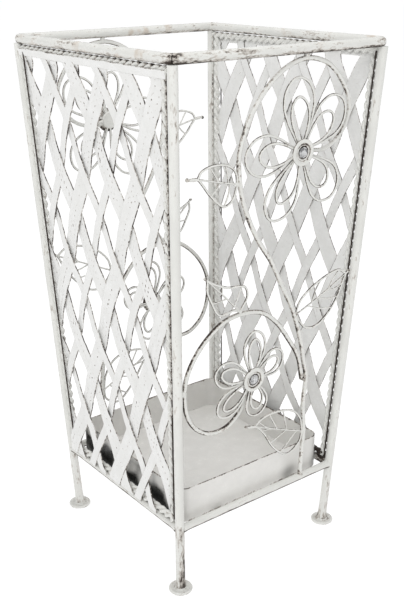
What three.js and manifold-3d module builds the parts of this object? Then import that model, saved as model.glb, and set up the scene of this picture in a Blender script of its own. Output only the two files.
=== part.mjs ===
// Umbrella stand: a tapered open frame of round bar on four feet, with a woven strip lattice in the two
// sides, a wire flower scroll in the front and back, and a sheet-metal drip tray that lifts out.
// Millimetres, +Z up, origin on the floor under the middle of the stand. The front faces -Y.
import * as THREE from "three";
import { mergeVertices } from "three/addons/utils/BufferGeometryUtils.js";
import Module from "manifold-3d";

const wasm = await Module();
wasm.setup();

// Frame, given at the bars' centrelines: the half widths at the floor and at the rim.
const RIM_HEIGHT = 545;
const FLOOR_HALF = { x: 103, y: 102.5 };
const RIM_HALF = { x: 126, y: 134 };
const POST_RADIUS = 4.7;
const RIM_RADIUS = 5;
const RAIL_RADIUS = 4;
const RAIL_HEIGHT = 76.6;
const GAP = 0.3; // between pieces that touch or are welded together
const BAR_SIDES = 12;

// Feet
const FOOT_RADIUS = 12.5;
const FOOT_THICKNESS = 3;
const COLLAR_RADIUS = 7;
const FOOT_HEIGHT = 6;
const FOOT_SIDES = 16;

// Lattice panels: twisted rods round the edge and two families of flat strips
const ROPE_RADIUS = 4;
const ROPE_TO_POST = 1.5;
const ROPE_SIDES = 10;
const STRIP_THICKNESS = 1.4;
const STRIP_FUSE = 0.2; // how deep the two layers of strips sink into each other at their welds
const WIDE_STRIP = 20;
const NARROW_STRIP = 11;
const SHORTEST_STRIP = 45;
const LAST_STRIP = 12; // strips are numbered from minus this to this, more than the panel holds
const TOP_BAND = 3.2; // width of the flat band that joins the strips below the top rod
const PHASE_HEIGHT = 499; // the height at which a family's strip number 0 crosses its start
const FALLING = { slope: -0.471, spacing: 44.85, start: -11 };
const RISING = { slope: 0.55, spacing: 48.7, start: 15.5 };

// Scroll panels: wires of three gauges
const STEM_RADIUS = 2.3;
const PETAL_RADIUS = 1.3;
const LEAF_RADIUS = 1.2;
const VEIN_RADIUS = 0.9;
const PETAL_OFFSET = STEM_RADIUS + PETAL_RADIUS + GAP;
const HUB_RADIUS = 9;
const CUP_RADIUS = 13;
const CUP_HEIGHT = 4;
const CUP_SHEET = 1.5;
const CUP_SIDES = 16;
const GEM_RADIUS = 5.5;
const GEM_HEIGHT = 3;
const GEM_SIDES = 8;
const HEAVY_WIRE_SIDES = 6;
const FINE_WIRE_SIDES = 4;
const STEM_STEPS = 48;
const RING_STEPS = 32;
const PETAL_STEPS = 11;
const LEAF_STEPS = 9;

// Drip tray and the two straps that it rests on
const TRAY_HALF = { x: 98, y: 98 };
const TRAY_CORNER = 12;
const TRAY_SHEET = 1.2;
const TRAY_BOTTOM = 74.5;
const TRAY_TOP = 113;
const STRAP_WIDTH = 12;
const STRAP_THICKNESS = 2;
const STRAP_OFFSET = 50;

function paint(colour, roughness, metalness) {
  return new THREE.MeshStandardMaterial({ color: colour, roughness, metalness });
}

const WHITE_PAINT = paint(0xe6e6e1, 0.55, 0.1);
const STRIP_PAINT = paint(0xe1e1dc, 0.6, 0.1);
const TRAY_PAINT = paint(0xd4d0c8, 0.5, 0.15);
const CLEAR_STONE = paint(0xdfe4ea, 0.08, 0.2);

const stand = new THREE.Group();

function addMesh(parent, name, geometry, material) {
  const mesh = new THREE.Mesh(geometry, material);
  mesh.name = name;
  parent.add(mesh);
  return mesh;
}

// Booleans ---------------------------------------------------------------------------------------

function toSolid(geometry) {
  const bare = geometry.index ? geometry.toNonIndexed() : geometry.clone();
  bare.deleteAttribute("normal");
  bare.deleteAttribute("uv");
  const merged = mergeVertices(bare, 1e-3);
  const mesh = new wasm.Mesh({
    numProp: 3,
    vertProperties: merged.attributes.position.array,
    triVerts: new Uint32Array(merged.index.array),
  });
  return new wasm.Manifold(mesh);
}

function toGeometry(solid) {
  const mesh = solid.getMesh();
  const geometry = new THREE.BufferGeometry();
  geometry.setAttribute("position", new THREE.BufferAttribute(mesh.vertProperties, 3));
  geometry.setIndex(new THREE.BufferAttribute(mesh.triVerts, 1));
  geometry.computeVertexNormals();
  return geometry;
}

function union(geometries) {
  return geometries.map(toSolid).reduce((sum, solid) => sum.add(solid));
}

// The frame's taper ------------------------------------------------------------------------------

function halfAt(axis, height) {
  return THREE.MathUtils.lerp(FLOOR_HALF[axis], RIM_HALF[axis], height / RIM_HEIGHT);
}

// A panel lies in the plane of two posts. Its own axes are x along the side, seen from outside,
// y up the slope and z outwards, with the origin in the middle of the side at floor height.
function makePanel(quarterTurns) {
  const across = quarterTurns % 2 === 0 ? "x" : "y";
  const outwards = across === "x" ? "y" : "x";
  const flare = RIM_HALF[outwards] - FLOOR_HALF[outwards];
  const turned = new THREE.Group();
  turned.rotation.z = quarterTurns * Math.PI / 2;
  const group = new THREE.Group();
  group.position.y = -FLOOR_HALF[outwards];
  group.rotation.x = Math.PI / 2 + Math.atan(flare / RIM_HEIGHT);
  turned.add(group);
  stand.add(turned);
  const stretch = Math.hypot(flare, RIM_HEIGHT) / RIM_HEIGHT;
  return { group, across, stretch };
}

// Round bar whose two ends are cut level, leaning with the posts
function leaningBar(sideX, sideY, low, high) {
  const bar = new THREE.CylinderGeometry(POST_RADIUS, POST_RADIUS, high - low, BAR_SIDES);
  bar.rotateX(Math.PI / 2);
  bar.translate(0, 0, (low + high) / 2);
  const leanX = sideX * (RIM_HALF.x - FLOOR_HALF.x) / RIM_HEIGHT;
  const leanY = sideY * (RIM_HALF.y - FLOOR_HALF.y) / RIM_HEIGHT;
  const shear = new THREE.Matrix4().set(
    1, 0, leanX, sideX * FLOOR_HALF.x,
    0, 1, leanY, sideY * FLOOR_HALF.y,
    0, 0, 1, 0,
    0, 0, 0, 1,
  );
  return bar.applyMatrix4(shear);
}

// Round bar lying along x, with an optional 45 degree mitre that makes its outer (-y) side longer
function levelBar(radius, length, mitred) {
  const bar = new THREE.CylinderGeometry(radius, radius, length, BAR_SIDES);
  bar.rotateZ(-Math.PI / 2);
  if (mitred) {
    const places = bar.attributes.position;
    for (let i = 0; i < places.count; i += 1) {
      const end = Math.sign(places.getX(i));
      places.setX(i, places.getX(i) - end * places.getY(i));
    }
    bar.computeVertexNormals();
  }
  return bar;
}

function footGeometry() {
  const half = FOOT_THICKNESS / 2;
  const profile = [
    [0, 0],
    [FOOT_RADIUS - half, 0],
    [FOOT_RADIUS, half],
    [FOOT_RADIUS - half, FOOT_THICKNESS],
    [COLLAR_RADIUS, FOOT_THICKNESS],
    [POST_RADIUS, FOOT_HEIGHT],
    [0, FOOT_HEIGHT],
  ].map(([x, y]) => new THREE.Vector2(x, y));
  return new THREE.LatheGeometry(profile, FOOT_SIDES).rotateX(Math.PI / 2);
}

function addFrame() {
  for (const [endName, sideY] of [["front", -1], ["back", 1]]) {
    for (const [handName, sideX] of [["left", -1], ["right", 1]]) {
      const corner = `${endName}_${handName}`;
      const post = leaningBar(sideX, sideY, FOOT_HEIGHT + GAP, RIM_HEIGHT - RIM_RADIUS - GAP);
      addMesh(stand, `post_${corner}`, post, WHITE_PAINT);
      const foot = addMesh(stand, `foot_${corner}`, footGeometry(), WHITE_PAINT);
      foot.position.set(sideX * halfAt("x", FOOT_HEIGHT), sideY * halfAt("y", FOOT_HEIGHT), 0);
    }
  }
  ["front", "right", "back", "left"].forEach((side, quarterTurns) => {
    const [along, outwards] = quarterTurns % 2 === 0 ? ["x", "y"] : ["y", "x"];
    const turned = new THREE.Group();
    turned.rotation.z = quarterTurns * Math.PI / 2;
    stand.add(turned);
    const rimLength = 2 * RIM_HALF[along] - 2 * GAP;
    const rim = addMesh(turned, `rim_${side}`, levelBar(RIM_RADIUS, rimLength, true), WHITE_PAINT);
    rim.position.set(0, -RIM_HALF[outwards], RIM_HEIGHT);
    const railLength = 2 * (halfAt(along, RAIL_HEIGHT) - POST_RADIUS - GAP);
    const rail = addMesh(turned, `rail_${side}`, levelBar(RAIL_RADIUS, railLength, false), WHITE_PAINT);
    rail.position.set(0, -halfAt(outwards, RAIL_HEIGHT), RAIL_HEIGHT);
  });
}

// Lattice panels ---------------------------------------------------------------------------------

const ROPE_TOP = RIM_HEIGHT - RIM_RADIUS - GAP - ROPE_RADIUS;
const ROPE_BOTTOM = RAIL_HEIGHT + RAIL_RADIUS + GAP + ROPE_RADIUS;
const ROPE_INSET = POST_RADIUS + ROPE_TO_POST + ROPE_RADIUS;

// Rod from one point to another in the panel's plane
function ropeRod(from, to) {
  const span = new THREE.Vector2().subVectors(to, from);
  const rod = new THREE.CylinderGeometry(ROPE_RADIUS, ROPE_RADIUS, span.length(), ROPE_SIDES);
  rod.rotateZ(span.angle() - Math.PI / 2);
  const middle = new THREE.Vector2().addVectors(from, to).multiplyScalar(0.5);
  return rod.translate(middle.x, middle.y, 0);
}

function addRopes(panel, side, endOfNegativeX, endOfPositiveX) {
  for (const [name, height] of [["top", ROPE_TOP], ["bottom", ROPE_BOTTOM]]) {
    const reach = halfAt("y", height - ROPE_RADIUS) - POST_RADIUS - GAP;
    const y = height * panel.stretch;
    const rod = ropeRod(new THREE.Vector2(-reach, y), new THREE.Vector2(reach, y));
    addMesh(panel.group, `rope_${side}_${name}`, rod, WHITE_PAINT);
  }
  const low = ROPE_BOTTOM + ROPE_RADIUS + 2 * GAP;
  const high = ROPE_TOP - ROPE_RADIUS - 2 * GAP;
  for (const [name, hand] of [[endOfNegativeX, -1], [endOfPositiveX, 1]]) {
    const from = new THREE.Vector2(hand * (halfAt("y", low) - ROPE_INSET), low * panel.stretch);
    const to = new THREE.Vector2(hand * (halfAt("y", high) - ROPE_INSET), high * panel.stretch);
    addMesh(panel.group, `rope_${side}_${name}`, ropeRod(from, to), WHITE_PAINT);
  }
}

// One family of parallel strips as boxes, wide and narrow by turns, in one layer
function stripBoxes(family, mirror, layer, inside) {
  const boxes = [];
  const length = 2 * RIM_HEIGHT;
  const lean = Math.atan(family.slope);
  for (let number = -LAST_STRIP; number <= LAST_STRIP; number += 1) {
    const width = number % 2 === 0 ? WIDE_STRIP : NARROW_STRIP;
    const start = family.start + number * family.spacing;
    const box = new THREE.BoxGeometry(width, length, STRIP_THICKNESS);
    box.rotateZ(-lean * mirror);
    box.translate(mirror * start, PHASE_HEIGHT, layer * (STRIP_THICKNESS - STRIP_FUSE) / 2);
    const strip = toSolid(box).intersect(inside);
    if (strip.volume() > SHORTEST_STRIP * width * STRIP_THICKNESS) {
      boxes.push(strip);
    }
  }
  return boxes;
}

function latticeSolid(panel, mirror) {
  const low = ROPE_BOTTOM + ROPE_RADIUS + GAP;
  const high = ROPE_TOP - ROPE_RADIUS - GAP;
  const inset = ROPE_INSET + ROPE_RADIUS + GAP;
  const lowHalf = halfAt("y", low) - inset;
  const highHalf = halfAt("y", high) - inset;
  const outline = new THREE.Shape();
  outline.moveTo(-lowHalf, low * panel.stretch);
  outline.lineTo(lowHalf, low * panel.stretch);
  outline.lineTo(highHalf, high * panel.stretch);
  outline.lineTo(-highHalf, high * panel.stretch);
  outline.closePath();
  const thickness = 2 * STRIP_THICKNESS - STRIP_FUSE;
  const depth = 2 * thickness;
  const prism = new THREE.ExtrudeGeometry(outline, { depth, bevelEnabled: false });
  const inside = toSolid(prism.translate(0, 0, -depth / 2));
  const band = new THREE.BoxGeometry(2 * highHalf, TOP_BAND, thickness);
  band.translate(0, high * panel.stretch - TOP_BAND / 2, 0);
  const strips = [
    toSolid(band).intersect(inside),
    ...stripBoxes(FALLING, mirror, 1, inside),
    ...stripBoxes(RISING, mirror, -1, inside),
  ];
  return strips.reduce((sum, strip) => sum.add(strip));
}

function addLatticePanel(side, quarterTurns, mirror, endOfNegativeX, endOfPositiveX) {
  const panel = makePanel(quarterTurns);
  addRopes(panel, side, endOfNegativeX, endOfPositiveX);
  addMesh(panel.group, `lattice_${side}`, toGeometry(latticeSolid(panel, mirror)), STRIP_PAINT);
}

// Scroll panels ----------------------------------------------------------------------------------

// Each route is a list of [x, height] on the panel.
const STEM_ROUTE = [
  [60, 81.2], [60, 110], [60, 137], [56, 172], [57, 202], [52, 222], [45, 248], [30, 287], [13, 317],
  [-3, 345], [-22, 371], [-38, 400], [-48, 430], [-50, 458], [-40, 488], [-20, 515], [2, 530.5],
  [25, 536.2], [52, 530], [73, 512], [85, 490], [82, 470], [70, 456], [54, 449], [34, 451],
];
const RING_ROUTE = [
  [50, 205], [43, 230], [27, 255], [8, 279], [-12, 294], [-38, 299], [-62, 295], [-85, 278], [-100, 256],
  [-105, 236], [-102, 210], [-91, 190], [-72, 177.5], [-50, 178], [-34, 191], [-27, 210],
];
const UPPER_FLOWER = {
  centre: [21, 451.5],
  outer: { width: 37.5, lengths: [69.5, 68, 68, 69.5, 67] },
  inner: { width: 22, lengths: [52, 50, 50, 52, 51] },
  angles: [98, 40, -45, -117, 178],
};
const LOWER_FLOWER = {
  centre: [-24, 227],
  outer: { width: 27, lengths: [51, 44, 46.5, 50.5, 50] },
  inner: { width: 15.5, lengths: [43, 36.5, 38, 43, 42.5] },
  angles: [88, 22, -75, 217, 158],
};
// A leaf's two edges run from its base to its tip, its midrib from the tip to the stem. A vein leaves
// the midrib at one share of its length and ends at the edge at another.
const LEAVES = {
  leaf_top: {
    base: [-53, 430], tip: [-107, 441.5],
    upper: [[-55, 442], [-66, 450], [-82, 451.5], [-97, 446]],
    lower: [[-57, 415], [-68, 412], [-84, 424], [-97, 439]],
    veins: [[0.3, 0.35], [0.5, 0.55], [0.7, 0.75]],
  },
  leaf_ring: {
    base: [-41, 303], tip: [-84, 345],
    upper: [[-34, 316], [-40, 329], [-58, 332], [-72, 336]],
    lower: [[-56, 306], [-71, 308], [-80, 320], [-83, 333]],
    veins: [[0.3, 0.35], [0.6, 0.65]],
  },
  leaf_side: {
    base: [38, 280], tip: [106, 312],
    upper: [[39, 294], [52, 308], [72, 316], [92, 317]],
    lower: [[44, 267], [58, 261], [76, 272], [92, 290]],
    veins: [[0.3, 0.35], [0.5, 0.55], [0.7, 0.75]],
  },
  leaf_low: {
    base: [55.5, 136], tip: [-23, 168],
    upper: [[53, 153], [38, 169], [12, 175], [-8, 173]],
    lower: [[54.5, 122], [37, 115], [15, 131], [-5, 158]],
    veins: [[0.25, 0.3], [0.45, 0.5], [0.65, 0.7]],
  },
};

function spline(points) {
  return new THREE.CatmullRomCurve3(points.map(([x, y, z]) => new THREE.Vector3(x, y, z ?? 0)));
}

function wire(curve, radius, sides, steps) {
  const section = new THREE.Shape();
  for (let side = 0; side < sides; side += 1) {
    const angle = (side + 0.5) * 2 * Math.PI / sides;
    const place = [radius * Math.cos(angle), radius * Math.sin(angle)];
    if (side === 0) {
      section.moveTo(...place);
    } else {
      section.lineTo(...place);
    }
  }
  section.closePath();
  return new THREE.ExtrudeGeometry(section, { steps, extrudePath: curve, bevelEnabled: false });
}

// Teardrop loop of wire that starts and ends in the hub
function petalLoop(centre, degrees, length, width, offset) {
  const angle = THREE.MathUtils.degToRad(degrees);
  const outline = [
    [0.05, 0.04], [0.3, 0.3], [0.62, 0.5], [0.88, 0.36], [1, 0],
    [0.88, -0.36], [0.62, -0.5], [0.3, -0.3], [0.05, -0.04],
  ];
  return spline(outline.map(([along, aside]) => {
    const x = along * length;
    const y = aside * width;
    return [
      centre[0] + x * Math.cos(angle) - y * Math.sin(angle),
      centre[1] + x * Math.sin(angle) + y * Math.cos(angle),
      offset,
    ];
  }));
}

function petalSolid(flower) {
  const hub = new THREE.CylinderGeometry(HUB_RADIUS, HUB_RADIUS, 2 * PETAL_RADIUS, BAR_SIDES);
  hub.rotateX(Math.PI / 2);
  hub.translate(flower.centre[0], flower.centre[1], PETAL_OFFSET);
  const loops = [hub];
  for (const ring of [flower.outer, flower.inner]) {
    flower.angles.forEach((degrees, index) => {
      const path = petalLoop(flower.centre, degrees, ring.lengths[index], ring.width, PETAL_OFFSET);
      loops.push(wire(path, PETAL_RADIUS, FINE_WIRE_SIDES, PETAL_STEPS));
    });
  }
  return union(loops);
}

// Dished cup with a raised rim, open to the front
function cupGeometry() {
  const profile = [
    [0, 0], [CUP_RADIUS - 3, 0], [CUP_RADIUS, 2], [CUP_RADIUS - 1, CUP_HEIGHT],
    [CUP_RADIUS - 4, CUP_HEIGHT - 0.8], [GEM_RADIUS + 1.5, CUP_SHEET], [0, CUP_SHEET],
  ].map(([x, y]) => new THREE.Vector2(x, y));
  return new THREE.LatheGeometry(profile, CUP_SIDES).rotateX(Math.PI / 2);
}

// Faceted stone: a flat table, a crown and a girdle
function gemGeometry() {
  const profile = [
    [0, 0], [GEM_RADIUS - 1, 0], [GEM_RADIUS, 1.2], [GEM_RADIUS - 2, GEM_HEIGHT], [0, GEM_HEIGHT],
  ].map(([x, y]) => new THREE.Vector2(x, y));
  return new THREE.LatheGeometry(profile, GEM_SIDES).rotateX(Math.PI / 2);
}

function leafSolid(leaf, stretch) {
  const lift = ([x, height]) => [x, height * stretch];
  const upper = spline([leaf.base, ...leaf.upper, leaf.tip].map(lift));
  const lower = spline([leaf.base, ...leaf.lower, leaf.tip].map(lift));
  const base = upper.getPoint(0);
  const tip = upper.getPoint(1);
  const midrib = new THREE.LineCurve3(base, tip);
  const wires = [
    wire(upper, LEAF_RADIUS, FINE_WIRE_SIDES, LEAF_STEPS),
    wire(lower, LEAF_RADIUS, FINE_WIRE_SIDES, LEAF_STEPS),
    wire(midrib, LEAF_RADIUS, FINE_WIRE_SIDES, 1),
  ];
  for (const [from, to] of leaf.veins) {
    for (const edge of [upper, lower]) {
      const vein = new THREE.LineCurve3(midrib.getPoint(from), edge.getPoint(to));
      wires.push(wire(vein, VEIN_RADIUS, FINE_WIRE_SIDES, 1));
    }
  }
  return union(wires);
}

function addScrollPanel(side, quarterTurns) {
  const panel = makePanel(quarterTurns);
  const lift = ([x, height]) => [x, height * panel.stretch];
  const place = (name, geometry, material) => {
    return addMesh(panel.group, `${side}_${name}`, geometry, material);
  };
  const heavyWire = (route, steps) => {
    return wire(spline(route.map(lift)), STEM_RADIUS, HEAVY_WIRE_SIDES, steps);
  };
  place("stem", heavyWire(STEM_ROUTE, STEM_STEPS), WHITE_PAINT);
  place("ring", heavyWire(RING_ROUTE, RING_STEPS), WHITE_PAINT);
  const cupBack = PETAL_OFFSET + PETAL_RADIUS + GAP;
  for (const [name, drawn] of [["upper", UPPER_FLOWER], ["lower", LOWER_FLOWER]]) {
    const flower = { ...drawn, centre: lift(drawn.centre) };
    place(`${name}_petals`, toGeometry(petalSolid(flower)), WHITE_PAINT);
    const cup = place(`${name}_cup`, cupGeometry(), WHITE_PAINT);
    cup.position.set(...flower.centre, cupBack);
    const gem = place(`${name}_gem`, gemGeometry(), CLEAR_STONE);
    gem.position.set(...flower.centre, cupBack + CUP_SHEET + GAP);
  }
  for (const [name, leaf] of Object.entries(LEAVES)) {
    place(name, toGeometry(leafSolid(leaf, panel.stretch)), WHITE_PAINT);
  }
}

// Drip tray --------------------------------------------------------------------------------------

function roundedPlate(halfX, halfY, corner, bottom, height) {
  const outline = new THREE.Shape();
  const x = halfX - corner;
  const y = halfY - corner;
  outline.absarc(x, y, corner, 0, Math.PI / 2);
  outline.absarc(-x, y, corner, Math.PI / 2, Math.PI);
  outline.absarc(-x, -y, corner, Math.PI, Math.PI * 1.5);
  outline.absarc(x, -y, corner, Math.PI * 1.5, Math.PI * 2);
  const shape = { depth: height, bevelEnabled: false, curveSegments: 5 };
  return new THREE.ExtrudeGeometry(outline, shape).translate(0, 0, bottom);
}

function addTray() {
  const height = TRAY_TOP - TRAY_BOTTOM;
  const block = toSolid(roundedPlate(TRAY_HALF.x, TRAY_HALF.y, TRAY_CORNER, TRAY_BOTTOM, height));
  const hollow = toSolid(roundedPlate(
    TRAY_HALF.x - TRAY_SHEET,
    TRAY_HALF.y - TRAY_SHEET,
    TRAY_CORNER - TRAY_SHEET,
    TRAY_BOTTOM + TRAY_SHEET,
    height,
  ));
  addMesh(stand, "tray", toGeometry(block.subtract(hollow)), TRAY_PAINT);
  const strapLength = 2 * (halfAt("y", RAIL_HEIGHT) - RAIL_RADIUS - GAP);
  for (const [name, hand] of [["left", -1], ["right", 1]]) {
    const box = new THREE.BoxGeometry(STRAP_WIDTH, strapLength, STRAP_THICKNESS);
    const strap = addMesh(stand, `tray_strap_${name}`, box, WHITE_PAINT);
    strap.position.set(hand * STRAP_OFFSET, 0, TRAY_BOTTOM - GAP - STRAP_THICKNESS / 2);
  }
}

addFrame();
addLatticePanel("right", 1, 1, "front", "back");
addLatticePanel("left", 3, -1, "back", "front");
addScrollPanel("front", 0);
addScrollPanel("back", 2);
addTray();

export default stand;
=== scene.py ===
"""Looks of the umbrella stand: distressed white bar, twisted rods, woven strips, wire flowers, clear stones
and the drip tray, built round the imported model. Shapes are worked out in millimetres, in the frame's axes."""

import math

import bpy
import numpy as np
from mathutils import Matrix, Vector, noise


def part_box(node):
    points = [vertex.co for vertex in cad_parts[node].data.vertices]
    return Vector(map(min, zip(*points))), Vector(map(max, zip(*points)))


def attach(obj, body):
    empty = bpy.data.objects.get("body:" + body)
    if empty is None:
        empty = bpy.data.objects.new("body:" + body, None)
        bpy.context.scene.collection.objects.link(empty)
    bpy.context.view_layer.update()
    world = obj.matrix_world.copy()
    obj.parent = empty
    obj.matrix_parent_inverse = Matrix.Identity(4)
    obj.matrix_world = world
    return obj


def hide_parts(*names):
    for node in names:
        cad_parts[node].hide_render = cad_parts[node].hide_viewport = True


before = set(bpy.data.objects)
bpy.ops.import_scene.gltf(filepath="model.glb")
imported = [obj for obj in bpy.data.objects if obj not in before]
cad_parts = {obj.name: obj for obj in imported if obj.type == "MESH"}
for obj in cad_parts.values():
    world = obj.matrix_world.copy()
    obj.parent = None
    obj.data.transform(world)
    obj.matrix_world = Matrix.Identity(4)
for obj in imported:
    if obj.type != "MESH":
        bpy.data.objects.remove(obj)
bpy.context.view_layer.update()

MM = 0.001
STAND = "stand"
TRAY = "tray"
UP = np.array((0.0, 0.0, 1.0))


# Sizes from the frame -----------------------------------------------------------------------------


def box_mm(node):
    low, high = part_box(node)
    return np.array(low) / MM, np.array(high) / MM


def middle(node):
    low, high = box_mm(node)
    return (low + high) / 2


def size(node):
    low, high = box_mm(node)
    return high - low


RIM_HEIGHT = middle("rim_front")[2]
RIM_RADIUS = size("rim_front")[2] / 2
RAIL_HEIGHT = middle("rail_front")[2]
RAIL_RADIUS = size("rail_front")[2] / 2
RIM_HALF = {"x": middle("rim_right")[0], "y": middle("rim_back")[1]}
RAIL_HALF = {"x": middle("rail_right")[0], "y": middle("rail_back")[1]}
POST_RADIUS = 4.7
FOOT_RADIUS = size("foot_front_left")[0] / 2
ROPE_RADIUS = size("rope_left_top")[0] / 2
ROPE_TOP = middle("rope_left_top")[2]
ROPE_BOTTOM = middle("rope_left_bottom")[2]
ROPE_INSET = POST_RADIUS + 1.5 + ROPE_RADIUS


def half_at(axis, height):
    """Half the distance between the posts' centrelines at a height."""
    share = (height - RAIL_HEIGHT) / (RIM_HEIGHT - RAIL_HEIGHT)
    return RAIL_HALF[axis] + share * (RIM_HALF[axis] - RAIL_HALF[axis])


class Panel:
    """One side of the stand. Its x runs along the side, seen from outside, h is the height and w the
    distance outwards from the plane of the posts."""

    def __init__(self, quarter_turns):
        angle = quarter_turns * math.pi / 2
        self.along = np.array((math.cos(angle), math.sin(angle), 0.0))
        self.out = np.array((math.sin(angle), -math.cos(angle), 0.0))
        self.across = "xy"[quarter_turns % 2]
        self.outwards = "yx"[quarter_turns % 2]
        flare = half_at(self.outwards, 1.0) - half_at(self.outwards, 0.0)
        normal = self.out - flare * UP
        self.normal = normal / np.linalg.norm(normal)

    def place(self, points):
        """World places of an (..., 3) array of x, h, w."""
        points = np.asarray(points, float)
        x, h, w = points[..., 0:1], points[..., 1:2], points[..., 2:3]
        return x * self.along + half_at(self.outwards, h) * self.out + h * UP + w * self.normal

    def half(self, height):
        return half_at(self.across, height)


# Mesh building ------------------------------------------------------------------------------------


class Surface:
    """Points and faces of one piece. Each point has a wear, from 0 for clean paint to 1 for paint rubbed
    through, which in some gaps and corners also holds painted shade, and a painted shade, from 0 to 1,
    that darkens it towards black. Each face has a shade, the number of its material."""

    def __init__(self):
        self.points = []
        self.faces = []
        self.wear = []
        self.soot = []
        self.shades = []

    def add(self, points, faces, wear=0.0, shade=0, soot=0.0):
        start = len(self.points)
        points = np.asarray(points, float).reshape(-1, 3)
        self.points.extend(points.tolist())
        self.faces.extend([tuple(start + i for i in face) for face in faces])
        self.wear.extend(np.broadcast_to(np.ravel(wear), len(points)).tolist())
        self.soot.extend(np.broadcast_to(np.ravel(soot), len(points)).tolist())
        self.shades.extend([shade] * len(faces))

    def piece(self, name, materials, body, slot, replaced=(), sharp=40.0):
        mesh = bpy.data.meshes.new(name)
        mesh.from_pydata([(x * MM, y * MM, z * MM) for x, y, z in self.points], [], self.faces)
        for material in materials:
            mesh.materials.append(material)
        mesh.polygons.foreach_set("material_index", self.shades)
        worn = mesh.attributes.new("wear", "FLOAT", "POINT")
        worn.data.foreach_set("value", self.wear)
        shade_layer = mesh.attributes.new("soot", "FLOAT", "POINT")
        shade_layer.data.foreach_set("value", self.soot)
        mesh.polygons.foreach_set("use_smooth", [True] * len(mesh.polygons))
        mesh.set_sharp_from_angle(angle=math.radians(sharp))
        mesh.update()
        obj = bpy.data.objects.new(name, mesh)
        bpy.context.scene.collection.objects.link(obj)
        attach(obj, body)
        if replaced:
            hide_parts(*replaced)
        return obj


def smooth(value, low, high):
    """0 below low, 1 above high, with a soft step between."""
    share = np.clip((value - low) / (high - low), 0, 1)
    return share * share * (3 - 2 * share)


def unit(v):
    return v / np.maximum(np.linalg.norm(v, axis=-1, keepdims=True), 1e-9)


def tangents(path):
    return unit(np.gradient(path, axis=0))


def frames(path, reference):
    """Two unit vectors square to the path at each of its points, turning as little as they can."""
    heading = tangents(path)
    first = unit(reference - np.dot(reference, heading[0]) * heading[0])
    sides = [first]
    for direction in heading[1:]:
        side = sides[-1] - np.dot(sides[-1], direction) * direction
        sides.append(unit(side))
    sides = np.array(sides)
    return sides, np.cross(heading, sides)


def grid_faces(rings, sides, flip=False):
    faces = []
    for i in range(rings - 1):
        for j in range(sides):
            k = (j + 1) % sides
            face = (i * sides + j, i * sides + k, (i + 1) * sides + k, (i + 1) * sides + j)
            faces.append(face[::-1] if flip else face)
    faces.append(tuple(range(sides))[::1 if flip else -1])
    faces.append(tuple(range((rings - 1) * sides, rings * sides))[::-1 if flip else 1])
    return faces


def jitter(points, feature, amount, seed):
    """A smooth number for each point, about -amount to amount, that changes over feature mm."""
    shift = Vector((seed * 7.1, seed * 3.7, seed * 1.3))
    flat = np.asarray(points).reshape(-1, 3)
    values = [noise.noise(Vector(p) / feature + shift) for p in flat.tolist()]
    return amount * np.array(values).reshape(np.shape(points)[:-1])


def tube(surface, path, radius, sides=10, wear=0.2, under=0.5, hammer=0.05, reference=UP, seed=1,
         round_ends=True, flank=0.0):
    """Round bar along a path, uneven by about hammer mm. under is the extra wear on what faces down, flank
    on what faces square to the reference direction."""
    path = np.asarray(path, float)
    radius = np.broadcast_to(radius, len(path)).astype(float)
    heading = tangents(path)
    side, other = frames(path, reference)
    if round_ends:
        turn = np.radians((90, 60, 30))
        head = path[0] - heading[0] * radius[0] * np.sin(turn)[:, None]
        tail = path[-1] + heading[-1] * radius[-1] * np.sin(turn[::-1])[:, None]
        path = np.concatenate([head, path, tail])
        shrink = np.maximum(np.cos(turn), 0.08)
        radius = np.concatenate([radius[0] * shrink, radius, radius[-1] * shrink[::-1]])
        side = np.concatenate([np.repeat(side[:1], 3, 0), side, np.repeat(side[-1:], 3, 0)])
        other = np.concatenate([np.repeat(other[:1], 3, 0), other, np.repeat(other[-1:], 3, 0)])
    angle = 2 * np.pi * np.arange(sides) / sides
    out = side[:, None] * np.cos(angle)[None, :, None] + other[:, None] * np.sin(angle)[None, :, None]
    points = path[:, None] + out * radius[:, None, None]
    if hammer:
        points = points + out * jitter(points, 9.0, hammer, seed)[..., None]
    facing = np.abs(out @ unit(np.asarray(reference, float)))
    worn = wear + under * np.clip(-out[..., 2], 0, 1) + flank * smooth(1 - facing, 0.22, 0.5)
    surface.add(points, grid_faces(len(path), sides), worn.ravel())


def lathe(surface, centre, axis, profile, segments=40, wear=None, shade=0):
    """Turned shape: profile is a list of (radius, height) from the axis back to the axis."""
    axis = unit(np.asarray(axis, float))
    helper = np.array((1.0, 0.0, 0.0)) if abs(axis[0]) < 0.9 else np.array((0.0, 1.0, 0.0))
    first = unit(np.cross(axis, helper))
    second = np.cross(axis, first)
    angle = 2 * np.pi * np.arange(segments) / segments
    around = np.cos(angle)[:, None] * first + np.sin(angle)[:, None] * second
    rings = [centre + axis * h + around * max(r, 0.02) for r, h in profile]
    worn = np.repeat(np.asarray(wear if wear is not None else [0.2] * len(profile), float), segments)
    surface.add(np.array(rings), grid_faces(len(profile), segments), worn, shade)


def blob(surface, centre, radius, seed, wear=0.35):
    """Small lump of weld metal with an uneven skin."""
    steps = np.radians(np.linspace(-90, 90, 9))
    profile = [(radius * math.cos(a), radius * math.sin(a)) for a in steps]
    start = len(surface.points)
    lathe(surface, np.asarray(centre, float), UP, profile, 14, [wear] * len(profile))
    skin = np.array(surface.points[start:])
    away = unit(skin - centre)
    surface.points[start:] = (skin + away * jitter(skin, 2.2, 0.45 * radius, seed)[:, None]).tolist()


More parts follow.
